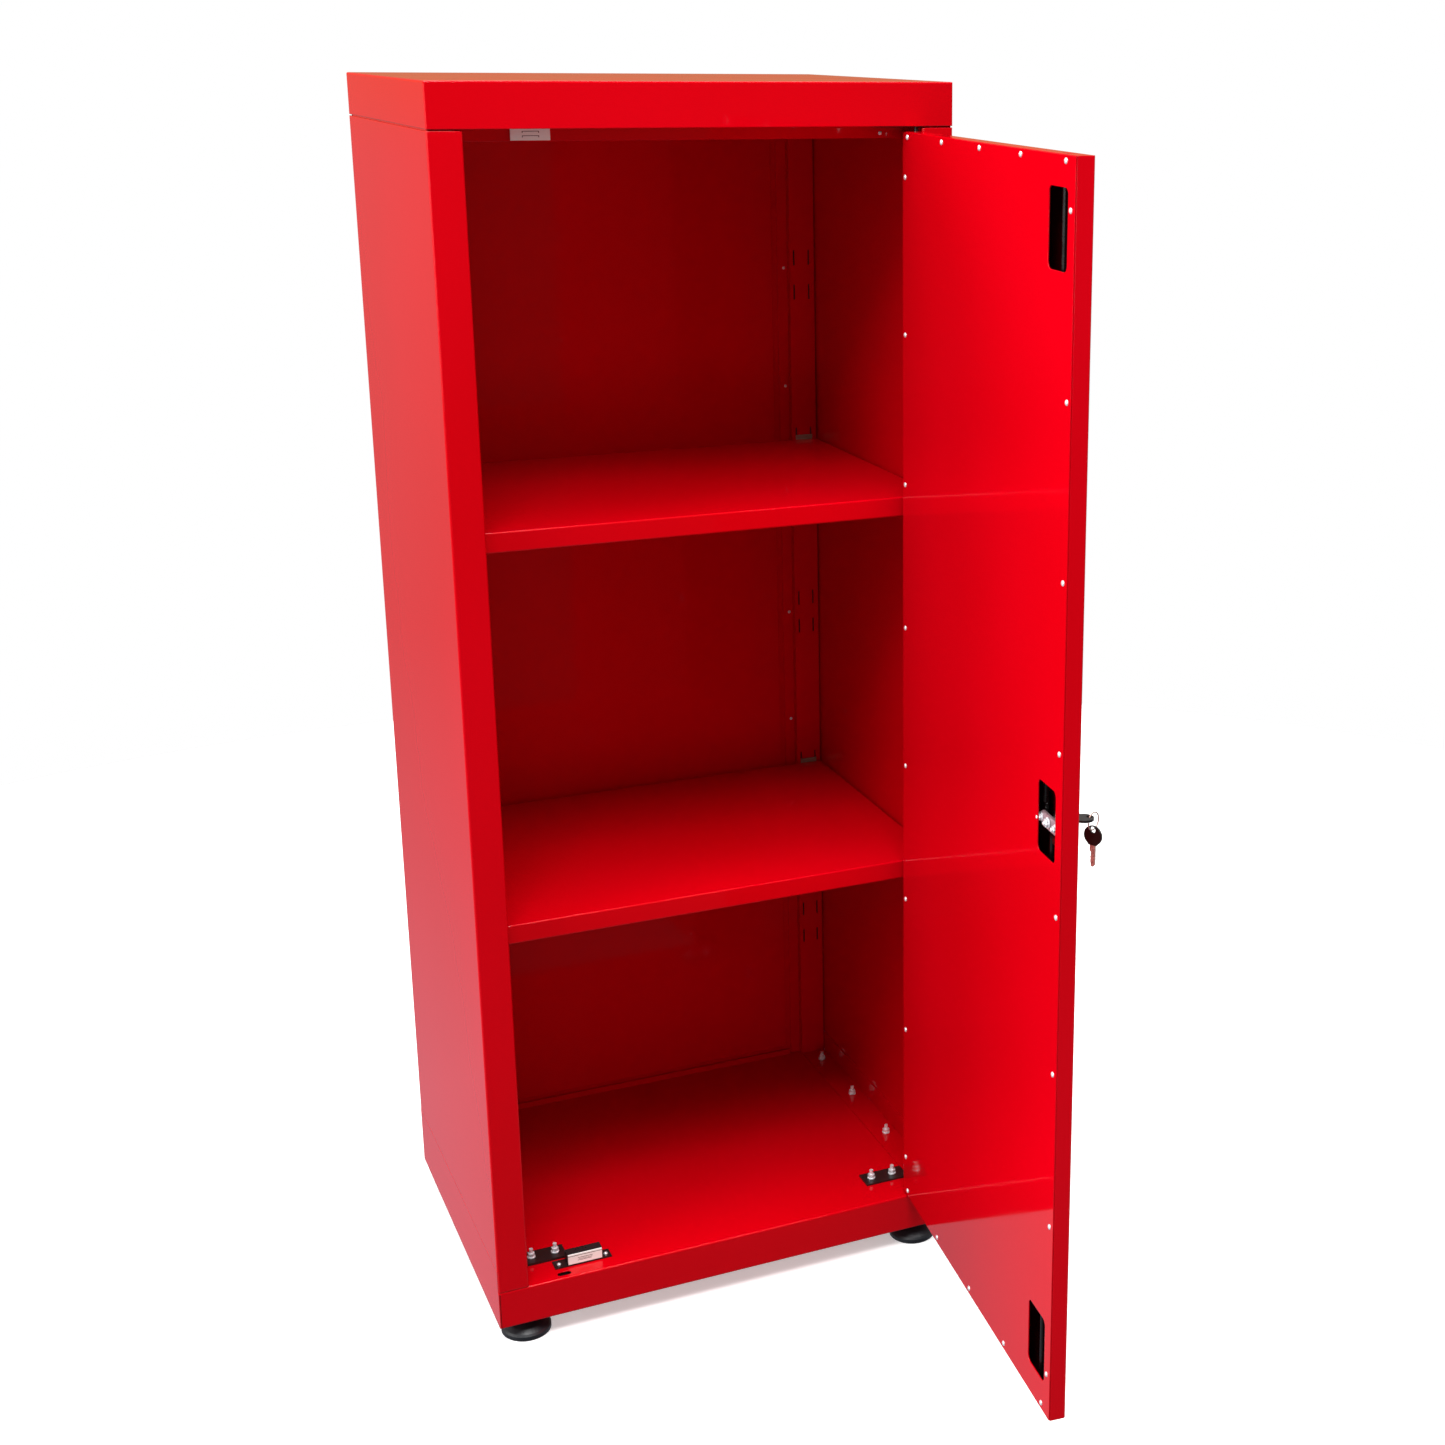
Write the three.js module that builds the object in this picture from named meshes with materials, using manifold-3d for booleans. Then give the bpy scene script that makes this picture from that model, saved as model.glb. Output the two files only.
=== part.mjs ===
// Single-door steel safety storage cabinet with two shelves, standing on four levelling feet.
// Units are millimetres, Z up. While the cabinet is drawn its front face is the plane y = 0,
// its left side is x = 0 and the floor is z = 0; the finished group is centred at the end.
import * as THREE from "three";
import { mergeVertices } from "three/addons/utils/BufferGeometryUtils.js";
import Module from "manifold-3d";

const wasm = await Module();
wasm.setup();

// Overall size and sheet metal
const WIDTH = 600;
const DEPTH = 455;
const HEIGHT = 1500;
const SHEET = 1.2;
const FIT = 0.3; // clearance left between pieces that touch
const FOLD = 2.4; // outer radius of a fold in the sheet

// Base tray
const TRAY_BOTTOM = 26;
const DECK = 76;
const TRAY_SIDE_TOP = 105;
const TRAY_LIP = 16;

// Top cap and the header that stops the door
const CAP_BOTTOM = 1451;
const PANEL_TOP = 1449.2; // leaves an open seam under the cap
const HEADER_SHELF = 1452.6;
const STOP_FRONT = 24;
const STOP_BOTTOM = 1437;

// Side panels and rear uprights
const STILE = 37.5;
const STILE_DEPTH = 28;
const RETURN_Y = 450.8;
const RETURN_WIDTH = 52;
const UPRIGHT_Y = 440;
const SLOT_HEIGHT = 20;
const SPARE_SLOTS = [1261, 1215, 968, 786, 745, 496, 311, 268];

// Shelves
const SHELF_TOPS = { upper: 1013, lower: 540 };
const SHELF_LIP = 24;
const SHELF_FRONT = 30.5;
const SHELF_REAR = 437.4;

// Levelling feet
const FOOT_X = 38;
const FOOT_Y = 30;
const FOOT_RADIUS = 30.5;

// Door, drawn closed, and its pivot
const DOOR_LEFT = 39;
const DOOR_RIGHT = 561;
const DOOR_FRONT = 1;
const DOOR_THICK = 20;
const DOOR_BOTTOM = 79;
const DOOR_TOP = 1445;
const DOOR_OPEN = 84.4;
const PIVOT_X = 556.5;
const PIVOT_Y = 6;
const PIN_RADIUS = 2.5;

// Lock, rods and keys
const LOCK_X = 88;
const LOCK_Z = 768;
const ROD_Y = 10.5;
const ROD_RADIUS = 3;
const CAM_REACH = 20;
const LINER_SLOT = { x: 80.5, width: 49, height: 79, centres: [1375, 773, 156] };
const BOW_RADIUS = 11;
const BOW_CENTRE = -24;
const BOW_HOLE = 6.6;
const RING_RADIUS = 9.6;
const RING_TUBE = 0.8;
const RING_YAW = -57;
const RING_DROP = 38;

const rad = THREE.MathUtils.degToRad;

function solid(geometry) {
  const g = geometry.index ? geometry.clone() : geometry;
  g.deleteAttribute("normal");
  g.deleteAttribute("uv");
  const m = mergeVertices(g, 1e-4);
  // Everything is drawn on a micron grid, so that faces meant to be level are exactly level
  const onGrid = (v) => Math.round(v * 1000) / 1000;
  return new wasm.Manifold(new wasm.Mesh({
    numProp: 3,
    vertProperties: new Float32Array(Array.from(m.attributes.position.array, onGrid)),
    triVerts: new Uint32Array(m.index.array),
  }));
}

function piece(name, body) {
  const m = body.getMesh();
  const g = new THREE.BufferGeometry();
  g.setAttribute("position", new THREE.BufferAttribute(new Float32Array(m.vertProperties), 3));
  g.setIndex(new THREE.BufferAttribute(new Uint32Array(m.triVerts), 1));
  g.computeVertexNormals();
  const mesh = new THREE.Mesh(g, new THREE.MeshStandardMaterial());
  mesh.name = name;
  return mesh;
}

const join = (list) => list.reduce((a, b) => a.add(b));
const cut = (body, list) => list.reduce((a, b) => a.subtract(b), body);

function box(x0, x1, y0, y1, z0, z1) {
  const g = new THREE.BoxGeometry(x1 - x0, y1 - y0, z1 - z0);
  return solid(g.translate((x0 + x1) / 2, (y0 + y1) / 2, (z0 + z1) / 2));
}

// Round bar along an axis, between two stations on that axis
function bar(axis, radius, a, b, u, v, sides = 24) {
  const g = new THREE.CylinderGeometry(radius, radius, b - a, sides);
  if (axis === "z") g.rotateX(Math.PI / 2).translate(u, v, (a + b) / 2);
  if (axis === "y") g.translate(u, (a + b) / 2, v);
  return solid(g);
}

const hexagon = (axis, flats, a, b, u, v) => bar(axis, flats / Math.sqrt(3), a, b, u, v, 6);

function roundedOutline(width, height, radius) {
  const [w, h] = [width / 2, height / 2];
  const s = new THREE.Shape();
  s.moveTo(-w + radius, -h);
  s.lineTo(w - radius, -h);
  s.absarc(w - radius, -h + radius, radius, -Math.PI / 2, 0);
  s.lineTo(w, h - radius);
  s.absarc(w - radius, h - radius, radius, 0, Math.PI / 2);
  s.lineTo(-w + radius, h);
  s.absarc(-w + radius, h - radius, radius, Math.PI / 2, Math.PI);
  s.lineTo(-w, -h + radius);
  s.absarc(-w + radius, -h + radius, radius, Math.PI, Math.PI * 1.5);
  return s;
}

const extruded = (shape, depth, segments = 5) =>
  new THREE.ExtrudeGeometry(shape, { depth, bevelEnabled: false, curveSegments: segments });

// Cutter that rounds an outer edge running along an axis from a to b at (u, v); the sheet lies
// towards (su, sv) from the edge. u and v are the other two axes, in x, y, z order.
function edgeRound(axis, radius, a, b, u, v, su, sv) {
  const points = [[-0.5, -0.5], [radius, -0.5]];
  for (let k = 0; k <= 4; k++) {
    const t = Math.PI * (1.5 - k / 8);
    points.push([radius * (1 + Math.cos(t)), radius * (1 + Math.sin(t))]);
  }
  points.push([-0.5, radius]);
  const s = new THREE.Shape(points.map(([p, q]) => new THREE.Vector2(u + su * p, v + sv * q)));
  const g = extruded(s, b - a);
  const unit = (x, y, z) => new THREE.Vector3(x, y, z);
  const turn = new THREE.Matrix4();
  if (axis === "z") g.translate(0, 0, a);
  if (axis === "x") {
    g.applyMatrix4(turn.makeBasis(unit(0, 1, 0), unit(0, 0, 1), unit(1, 0, 0))).translate(a, 0, 0);
  }
  if (axis === "y") {
    g.applyMatrix4(turn.makeBasis(unit(1, 0, 0), unit(0, 0, 1), unit(0, -1, 0))).translate(0, b, 0);
  }
  return solid(g);
}

// Upright block whose two front edges have the fold radius of bent sheet
function foldedBar(x0, x1, y0, y1, radius, z0, z1) {
  const s = new THREE.Shape();
  s.moveTo(x1, y1);
  s.lineTo(x0, y1);
  s.absarc(x0 + radius, y0 + radius, radius, Math.PI, Math.PI * 1.5);
  s.absarc(x1 - radius, y0 + radius, radius, Math.PI * 1.5, Math.PI * 2);
  return solid(extruded(s, z1 - z0, 4).translate(0, 0, z0));
}

// Rounded plate lying flat (thickness along z) or standing (thickness along y)
function flatPlate(width, height, radius, x, y, z0, z1) {
  return solid(extruded(roundedOutline(width, height, radius), z1 - z0).translate(x, y, z0));
}
function facePlate(width, height, radius, x, z, y0, y1) {
  const g = extruded(roundedOutline(width, height, radius), y1 - y0);
  return solid(g.rotateX(Math.PI / 2).translate(x, y1, z));
}

const flip = (side, x) => (side === "left" ? x : WIDTH - x);
function sideBox(side, x0, x1, y0, y1, z0, z1) {
  const a = flip(side, x0);
  const b = flip(side, x1);
  return box(Math.min(a, b), Math.max(a, b), y0, y1, z0, z1);
}

const SIDES = ["left", "right"];
const FLANGE_BOLTS_Y = [165, 290, 410];
const FLANGE_BOLT_X = 18;
const RIGHT_PLATE_BOLTS = [515, 545];
const PLATE_BOLT_Y = 58;
const PLATE_BOLTS = { right: RIGHT_PLATE_BOLTS, left: RIGHT_PLATE_BOLTS.map((x) => WIDTH - x) };
const BOLT_RADIUS = 2.5;
const BOLT_HOLE = 3;
const FEET = [
  ["front_left", FOOT_X, FOOT_Y],
  ["front_right", WIDTH - FOOT_X, FOOT_Y],
  ["rear_left", FOOT_X, DEPTH - FOOT_Y],
  ["rear_right", WIDTH - FOOT_X, DEPTH - FOOT_Y],
];

function baseTray() {
  const skirts = [
    box(0, WIDTH, 0, DEPTH, DECK - SHEET, DECK),
    box(0, WIDTH, 0, SHEET, TRAY_BOTTOM, DECK),
    box(0, WIDTH, DEPTH - SHEET, DEPTH, TRAY_BOTTOM, DECK),
    box(54, WIDTH - 54, 448, 448 + SHEET, DECK - SHEET, DECK + 8),
    box(0, WIDTH, 0, TRAY_LIP, TRAY_BOTTOM, TRAY_BOTTOM + SHEET),
    box(0, WIDTH, DEPTH - TRAY_LIP, DEPTH, TRAY_BOTTOM, TRAY_BOTTOM + SHEET),
  ];
  for (const side of SIDES) {
    skirts.push(sideBox(side, 0, SHEET, 0, DEPTH, TRAY_BOTTOM, DECK));
    skirts.push(sideBox(side, 0, SHEET, 2, DEPTH, DECK - SHEET, TRAY_SIDE_TOP));
    skirts.push(sideBox(side, 0, TRAY_LIP, 0, DEPTH, TRAY_BOTTOM, TRAY_BOTTOM + SHEET));
  }
  const holes = [flatPlate(17, 8, 3.9, LOCK_X - 4, ROD_Y, DECK - 5, DECK + 5)];
  holes.push(bar("z", PIN_RADIUS + 0.4, DECK - 5, DECK + 5, PIVOT_X, PIVOT_Y));
  for (const side of SIDES) {
    for (const y of FLANGE_BOLTS_Y) {
      holes.push(bar("z", BOLT_HOLE, DECK - 5, DECK + 5, flip(side, FLANGE_BOLT_X), y, 16));
    }
    for (const x of PLATE_BOLTS[side]) {
      holes.push(bar("z", BOLT_HOLE, DECK - 5, DECK + 5, x, PLATE_BOLT_Y, 16));
    }
    // Open corner seam where the front skirt meets the side skirt
    holes.push(sideBox(side, SHEET + 0.2, SHEET + 1, -1, SHEET + 0.5, TRAY_BOTTOM - 1, DECK - 3));
  }
  holes.push(edgeRound("x", FOLD, -1, WIDTH + 1, 0, DECK, 1, -1));
  holes.push(edgeRound("x", FOLD - 0.4, -1, WIDTH + 1, 0, TRAY_BOTTOM, 1, 1));
  // Corner gussets with a welded nut above them carry the feet
  for (const [, x, y] of FEET) {
    const left = x < WIDTH / 2;
    const front = y < DEPTH / 2;
    skirts.push(box(left ? 0 : WIDTH - 70, left ? 70 : WIDTH, front ? 0 : DEPTH - 60,
      front ? 60 : DEPTH, TRAY_BOTTOM, TRAY_BOTTOM + SHEET));
    skirts.push(hexagon("z", 13, TRAY_BOTTOM + SHEET / 2, TRAY_BOTTOM + 8, x, y));
    holes.push(bar("z", 4.4, TRAY_BOTTOM - 5, TRAY_BOTTOM + 12, x, y, 20));
  }
  return cut(join(skirts), holes);
}

function topCap() {
  const r = FOLD - 0.4;
  const [low, high] = [CAP_BOTTOM - 1, HEIGHT + 1];
  return cut(box(0, WIDTH, 0, DEPTH, CAP_BOTTOM, HEIGHT), [
    box(SHEET, WIDTH - SHEET, SHEET, DEPTH - SHEET, CAP_BOTTOM - 5, HEIGHT - SHEET),
    edgeRound("x", r, -1, WIDTH + 1, 0, HEIGHT, 1, -1),
    edgeRound("x", r, -1, WIDTH + 1, DEPTH, HEIGHT, -1, -1),
    edgeRound("y", r, -1, DEPTH + 1, 0, HEIGHT, 1, -1),
    edgeRound("y", r, -1, DEPTH + 1, WIDTH, HEIGHT, -1, -1),
    edgeRound("z", r, low, high, 0, 0, 1, 1),
    edgeRound("z", r, low, high, WIDTH, 0, -1, 1),
    edgeRound("z", r, low, high, 0, DEPTH, 1, -1),
    edgeRound("z", r, low, high, WIDTH, DEPTH, -1, -1),
  ]);
}

function headerRail() {
  const top = HEADER_SHELF + SHEET;
  const body = join([
    box(3, WIDTH - 3, SHEET + FIT, STOP_FRONT + SHEET, HEADER_SHELF, top),
    box(STILE + 0.5, WIDTH - STILE - 0.5, STOP_FRONT, STOP_FRONT + SHEET, STOP_BOTTOM, top),
    box(3, WIDTH - 3, STOP_FRONT, STOP_FRONT + SHEET, HEADER_SHELF, HEADER_SHELF + 18),
  ]);
  return cut(body, [
    flatPlate(17, 8, 3.9, LOCK_X - 4, ROD_Y, HEADER_SHELF - 5, HEADER_SHELF + 6),
    bar("z", PIN_RADIUS + 0.4, HEADER_SHELF - 5, HEADER_SHELF + 6, PIVOT_X, PIVOT_Y),
  ]);
}

function clipSlots(side, y0, y1, zs) {
  const out = [];
  for (const z of zs) {
    for (const x of [11, 32]) {
      const h = SLOT_HEIGHT / 2;
      out.push(sideBox(side, x - 1, x + 1, y0 - 3, y1 + 3, z - h, z + h));
    }
  }
  return out;
}

const SHELF_SLOTS = Object.values(SHELF_TOPS).map((z) => z + 6);

function sidePanel(side) {
  const low = DECK + FIT;
  const top = PANEL_TOP;
  const wallLow = TRAY_SIDE_TOP + FIT;
  const inner = SHEET + FIT;
  const body = join([
    sideBox(side, 0, SHEET, 0, DEPTH, wallLow, top),
    sideBox(side, 0, SHEET * 2, 447, DEPTH, wallLow, top),
    sideBox(side, 0, STILE, 0, SHEET, low, top),
    sideBox(side, STILE - SHEET, STILE, 0, STILE_DEPTH, low, top),
    sideBox(side, 6, STILE, STILE_DEPTH - SHEET, STILE_DEPTH, low, top),
    sideBox(side, 0, RETURN_WIDTH, RETURN_Y, RETURN_Y + SHEET, wallLow, top),
    sideBox(side, inner, RETURN_WIDTH, RETURN_Y, RETURN_Y + SHEET, low, top),
    sideBox(side, 0, inner + SHEET, 3, 439, wallLow, wallLow + SHEET),
    sideBox(side, inner, inner + SHEET, 3, 439, low, wallLow + SHEET),
    sideBox(side, inner, STILE - SHEET / 2, 3, 439, low, low + SHEET),
    sideBox(side, 0, inner + SHEET, 3, 439, top - SHEET, top),
    sideBox(side, inner, inner + SHEET, 3, 439, top - SHEET, 1480),
    sideBox(side, inner, 36, 27, 439, 1480 - SHEET, 1480),
  ]);
  const holes = clipSlots(side, STILE_DEPTH - SHEET, STILE_DEPTH, SHELF_SLOTS);
  for (const y of FLANGE_BOLTS_Y) {
    holes.push(bar("z", BOLT_HOLE, DECK - 1, DECK + 6, flip(side, FLANGE_BOLT_X), y, 16));
  }
  const s = side === "left" ? 1 : -1;
  holes.push(
    edgeRound("z", FOLD, low - 1, top + 1, flip(side, 0), 0, s, 1),
    edgeRound("z", FOLD - 0.4, low - 1, top + 1, flip(side, STILE), 0, -s, 1),
    edgeRound("z", FOLD - 0.4, wallLow - 1, top + 1, flip(side, 0), DEPTH, s, -1),
  );
  // Softly rounded top inner corner of the stile
  const r = 4;
  const corner = cut(sideBox(side, STILE - r, STILE + 1, -1, STILE_DEPTH + 1, top - r, top + 1), [
    bar("y", r, -2, STILE_DEPTH + 2, flip(side, STILE - r), top - r),
  ]);
  const keep = sideBox(side, STILE - r - 1, STILE + 2, -2, SHEET + 0.01, top - r - 1, top + 2);
  holes.push(corner.intersect(keep));
  return cut(body, holes);
}

function rearUpright(side) {
  const low = DECK + FIT;
  const top = CAP_BOTTOM - FIT;
  const body = join([
    sideBox(side, 3, 38, UPRIGHT_Y, UPRIGHT_Y + SHEET, low, top),
    sideBox(side, 38 - SHEET, 38, UPRIGHT_Y, RETURN_Y - FIT, low, top),
  ]);
  const slots = clipSlots(side, UPRIGHT_Y, UPRIGHT_Y + SHEET, [...SPARE_SLOTS, ...SHELF_SLOTS]);
  return cut(body, slots);
}

function backPanel() {
  const y = RETURN_Y + SHEET + 0.35;
  const frame = box(3, WIDTH - 3, y, y + 1.1, DECK + FIT, 1485);
  // Shallow joggle round the visible field of the panel
  const rib = box(60, WIDTH - 60, y - 3, y + 0.5, DECK + 14, 1444);
  const field = box(61.2, WIDTH - 61.2, y - 1.8, y + 3, DECK + 15.2, 1442.8);
  return cut(join([frame, rib]), [field]);
}

function shelf(top) {
  const low = top - SHELF_LIP;
  const [x0, x1] = [3.5, WIDTH - 3.5];
  const pan = box(x0, x1, SHELF_FRONT, SHELF_REAR, low, top);
  return cut(pan, [
    box(x0 + SHEET, x1 - SHEET, SHELF_FRONT + SHEET, SHELF_REAR - SHEET, low + SHEET, top - SHEET),
    box(x0 + SHEET, x1 - SHEET, SHELF_FRONT + 12, SHELF_REAR - SHEET, low - 1, low + 2 * SHEET),
    edgeRound("x", FOLD - 0.4, x0 - 1, x1 + 1, SHELF_FRONT, top, 1, -1),
    edgeRound("x", FOLD - 0.4, x0 - 1, x1 + 1, SHELF_FRONT, low, 1, 1),
  ]);
}

// Shelf clip: a small bracket with a ledge under the shelf and two hooks in the slots
function shelfClip(side, rear, top) {
  const ledge = top - SHELF_LIP - FIT;
  const y = (d) => (rear ? UPRIGHT_Y - d : STILE_DEPTH + d);
  const slab = (x0, x1, d0, d1, z0, z1) =>
    sideBox(side, x0, x1, Math.min(y(d0), y(d1)), Math.max(y(d0), y(d1)), z0, z1);
  return join([
    slab(9.5, 33.5, 0.4, 1.8, ledge - 5, top + 6),
    slab(9.5, 33.5, 0.4, 12, ledge - 1.4, ledge),
    slab(10.4, 11.6, -5, 1.8, top - 2, top + 5),
    slab(31.4, 32.6, -5, 1.8, top - 2, top + 5),
  ]);
}

function footPad(x, y) {
  const profile = [
    [0, 0], [FOOT_RADIUS - 1, 0], [FOOT_RADIUS, 1], [FOOT_RADIUS, 6], [FOOT_RADIUS - 2, 8.5],
    [FOOT_RADIUS - 8, 12.5], [15, 15], [11, 18], [4.1, 18], [4.1, 11], [0, 11],
  ].map(([r, z]) => new THREE.Vector2(r, z));
  const g = new THREE.LatheGeometry(profile, 40);
  return solid(g.rotateX(Math.PI / 2).translate(x, y, 0));
}

const footStem = (x, y) => join([
  bar("z", 3.8, 11.4, 66, x, y, 20),
  hexagon("z", 11, 18.4, 22, x, y),
]);

// Bolt through the deck: domed head below, nut and thread standing above
function deckBolt(x, y, seat) {
  return join([
    bar("z", 4.6, DECK - SHEET - 3.3, DECK - SHEET - FIT, x, y, 16),
    bar("z", BOLT_RADIUS, DECK - SHEET - 1, seat + 12, x, y, 14),
    bar("z", 5.2, seat + FIT, seat + FIT + 1.2, x, y, 18),
    hexagon("z", 8, seat + FIT + 0.6, seat + 6.2, x, y),
  ]);
}

function outlinePlate(points, z0, z1) {
  const s = new THREE.Shape(points.map(([x, y]) => new THREE.Vector2(x, y)));
  return solid(extruded(s, z1 - z0).translate(0, 0, z0));
}

const PLATE_LOW = DECK + FIT;
const PLATE_TOP = PLATE_LOW + 2.2;

function bottomHingePlate() {
  const body = outlinePlate([
    [503, 44], [557.5, 44], [551, 14], [551, 2.5], [562, 2.5], [562, 72], [503, 72],
  ], PLATE_LOW, PLATE_TOP);
  return cut(body, [
    bar("z", PIN_RADIUS + 0.4, PLATE_LOW - 1, PLATE_TOP + 1, PIVOT_X, PIVOT_Y),
    ...PLATE_BOLTS.right.map((x) =>
      bar("z", BOLT_HOLE, PLATE_LOW - 1, PLATE_TOP + 1, x, PLATE_BOLT_Y, 16)),
  ]);
}

function leftPlate() {
  const body = box(38, 97, 44, 72, PLATE_LOW, PLATE_LOW + 3);
  return cut(body, PLATE_BOLTS.left.map((x) =>
    bar("z", BOLT_HOLE, PLATE_LOW - 1, PLATE_LOW + 4, x, PLATE_BOLT_Y, 16)));
}

function topHingePlate() {
  const z = HEADER_SHELF - FIT - 2.2;
  return cut(box(503, 562, 2.5, 22, z, z + 2.2), [
    bar("z", PIN_RADIUS + 0.4, z - 1, z + 4, PIVOT_X, PIVOT_Y),
  ]);
}

// Magnetic catches: a dark housing with a pale face plate towards the door
const CATCH = { x0: 92, y0: 22, z0: 78, depth: 15 };

const catchBase = () => cut(box(76, 148, 22, 40, PLATE_LOW, PLATE_LOW + 1.2), [
  bar("z", 1.9, PLATE_LOW - 1, PLATE_LOW + 3, 82.5, 30, 14),
  bar("z", 1.9, PLATE_LOW - 1, PLATE_LOW + 3, 142, 30, 14),
]);

const catchHousing = (x0, z0, y) => box(x0, x0 + 44, y + 2.1, y + CATCH.depth, z0, z0 + 14);
const catchFace = (x0, z0, y) => box(x0 + 0.6, x0 + 43.4, y, y + 1.8, z0 + 0.5, z0 + 13.5);

// Door leaf: folded outer pan and a flat inner liner with three access slots
function doorOuter() {
  const [x0, x1] = [DOOR_LEFT, DOOR_RIGHT];
  const [z0, z1] = [DOOR_BOTTOM, DOOR_TOP];
  const back = DOOR_FRONT + DOOR_THICK - SHEET - FIT;
  const lip = 18;
  const shell = cut(foldedBar(x0, x1, DOOR_FRONT, back, FOLD, z0, z1), [
    foldedBar(x0 + SHEET, x1 - SHEET, DOOR_FRONT + SHEET, back - SHEET, FOLD - SHEET, z0 + SHEET, z1 - SHEET),
    box(x0 + lip, x1 - lip, back - SHEET - 1, back + 1, z0 + lip, z1 - lip),
  ]);
  return cut(shell, [
    flatPlate(17, 8, 3.9, LOCK_X - 4, ROD_Y, z0 - 2, z0 + 4),
    flatPlate(17, 8, 3.9, LOCK_X - 4, ROD_Y, z1 - 4, z1 + 2),
    bar("z", PIN_RADIUS + 0.4, z0 - 2, z0 + 4, PIVOT_X, PIVOT_Y),
    bar("z", PIN_RADIUS + 0.4, z1 - 4, z1 + 2, PIVOT_X, PIVOT_Y),
    bar("y", 9.4, DOOR_FRONT - 2, DOOR_FRONT + 4, LOCK_X, LOCK_Z, 32),
  ]);
}

function doorLiner() {
  const y1 = DOOR_FRONT + DOOR_THICK;
  const slots = LINER_SLOT.centres.map((z) =>
    facePlate(LINER_SLOT.width, LINER_SLOT.height, 7, LINER_SLOT.x, z, y1 - SHEET - 2, y1 + 2));
  return cut(box(DOOR_LEFT + 0.5, DOOR_RIGHT - 0.5, y1 - SHEET, y1,
    DOOR_BOTTOM + 0.5, DOOR_TOP - 0.5), slots);
}

// Pivot pin with a collar that bears inside the door pan
const pivotPinBottom = () => join([
  bar("z", PIN_RADIUS, DECK - 6, DOOR_BOTTOM + 9, PIVOT_X, PIVOT_Y, 20),
  bar("z", 3.2, DOOR_BOTTOM + SHEET + FIT, DOOR_BOTTOM + SHEET + 4, PIVOT_X, PIVOT_Y, 24),
]);
const pivotPinTop = () => join([
  bar("z", PIN_RADIUS, DOOR_TOP - 9, HEADER_SHELF + 5, PIVOT_X, PIVOT_Y, 20),
  bar("z", 3.2, DOOR_TOP - SHEET - 4, DOOR_TOP - SHEET - FIT, PIVOT_X, PIVOT_Y, 24),
]);

function lockBarrel() {
  const body = join([
    bar("y", 12, DOOR_FRONT - 3.3, DOOR_FRONT - FIT, LOCK_X, LOCK_Z, 36),
    bar("y", 9, DOOR_FRONT - 3, 8, LOCK_X, LOCK_Z, 32),
  ]);
  return cut(body, [bar("y", 6, -6, 12, LOCK_X, LOCK_Z, 28)]);
}

const lockNut = () => cut(
  hexagon("y", 24, DOOR_FRONT + SHEET + FIT, DOOR_FRONT + SHEET + 4, LOCK_X, LOCK_Z),
  [bar("y", 9.3, 0, 9, LOCK_X, LOCK_Z, 32)],
);

// Turning plug with its keyway, the cam seat and the retaining bolt head
function lockPlug() {
  const body = join([
    bar("y", 5.6, DOOR_FRONT - 3.3, 12.6, LOCK_X, LOCK_Z, 28),
    bar("y", 3.2, 12, 16.2, LOCK_X, LOCK_Z, 18),
    hexagon("y", 8, 16, 18.6, LOCK_X, LOCK_Z),
  ]);
  return cut(body, [box(LOCK_X - 4, LOCK_X + 4, -6, 9, LOCK_Z - 1.3, LOCK_Z + 1.3)]);
}

function lockCam() {
  const plate = facePlate(2 * CAM_REACH + 8, 16, 7.9, LOCK_X, LOCK_Z, 13, 15.6);
  const studs = [-CAM_REACH, CAM_REACH].map((d) =>
    bar("y", 3, 15, 18.6, LOCK_X + d, LOCK_Z, 18));
  return cut(join([plate, ...studs]), [bar("y", 3.5, 12, 17, LOCK_X, LOCK_Z, 18)]);
}

// Locking rod: round bar with a flat crank that reaches behind its cam stud. The upper rod runs
// straight up from its stud first and steps across above the access slot.
function lockRod(up) {
  const s = up ? 1 : -1;
  const zz = (a, b) => [LOCK_Z + s * a, LOCK_Z + s * b].sort((p, q) => p - q);
  const xx = (a, b) => [LOCK_X + s * a, LOCK_X + s * b].sort((p, q) => p - q);
  const far = up ? DOOR_TOP - 2 - LOCK_Z : LOCK_Z - DOOR_BOTTOM - 2;
  const step = up ? 72 : 14;
  const parts = [
    bar("z", ROD_RADIUS, ...zz(step + 2, far), LOCK_X, ROD_Y, 18),
    box(...xx(-4, CAM_REACH + 4), 9.2, 12.2, ...zz(step, step + 8)),
    box(...xx(CAM_REACH - 4, CAM_REACH + 4), 9.2, 12.2, ...zz(-4, 22)),
  ];
  if (up) parts.push(bar("z", ROD_RADIUS, ...zz(16, step + 6), LOCK_X + CAM_REACH, ROD_Y, 18));
  return join(parts);
}

// Guide bracket that keeps a rod in line, fixed to the outer pan
function rodGuide(z) {
  const y0 = DOOR_FRONT + SHEET + FIT;
  const body = join([
    box(LOCK_X - 16, LOCK_X + 16, y0, y0 + 1.4, z - 8, z + 8),
    box(LOCK_X - 7, LOCK_X + 7, y0, 15.5, z - 4, z + 4),
  ]);
  return cut(body, [bar("z", ROD_RADIUS + 0.4, z - 10, z + 10, LOCK_X, ROD_Y, 20)]);
}

// Key parts are drawn in a flat frame: blade towards +Y, bow towards -Y, thickness along Z
function bowOutline() {
  const s = new THREE.Shape();
  s.absarc(0, 0, BOW_RADIUS, rad(-238), rad(58), false);
  s.lineTo(5.2, BOW_RADIUS - 0.5);
  s.lineTo(-5.2, BOW_RADIUS - 0.5);
  s.closePath();
  const hole = new THREE.Path();
  hole.absarc(0, -BOW_HOLE, 3.6, 0, Math.PI * 2, true);
  s.holes.push(hole);
  return s;
}

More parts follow.
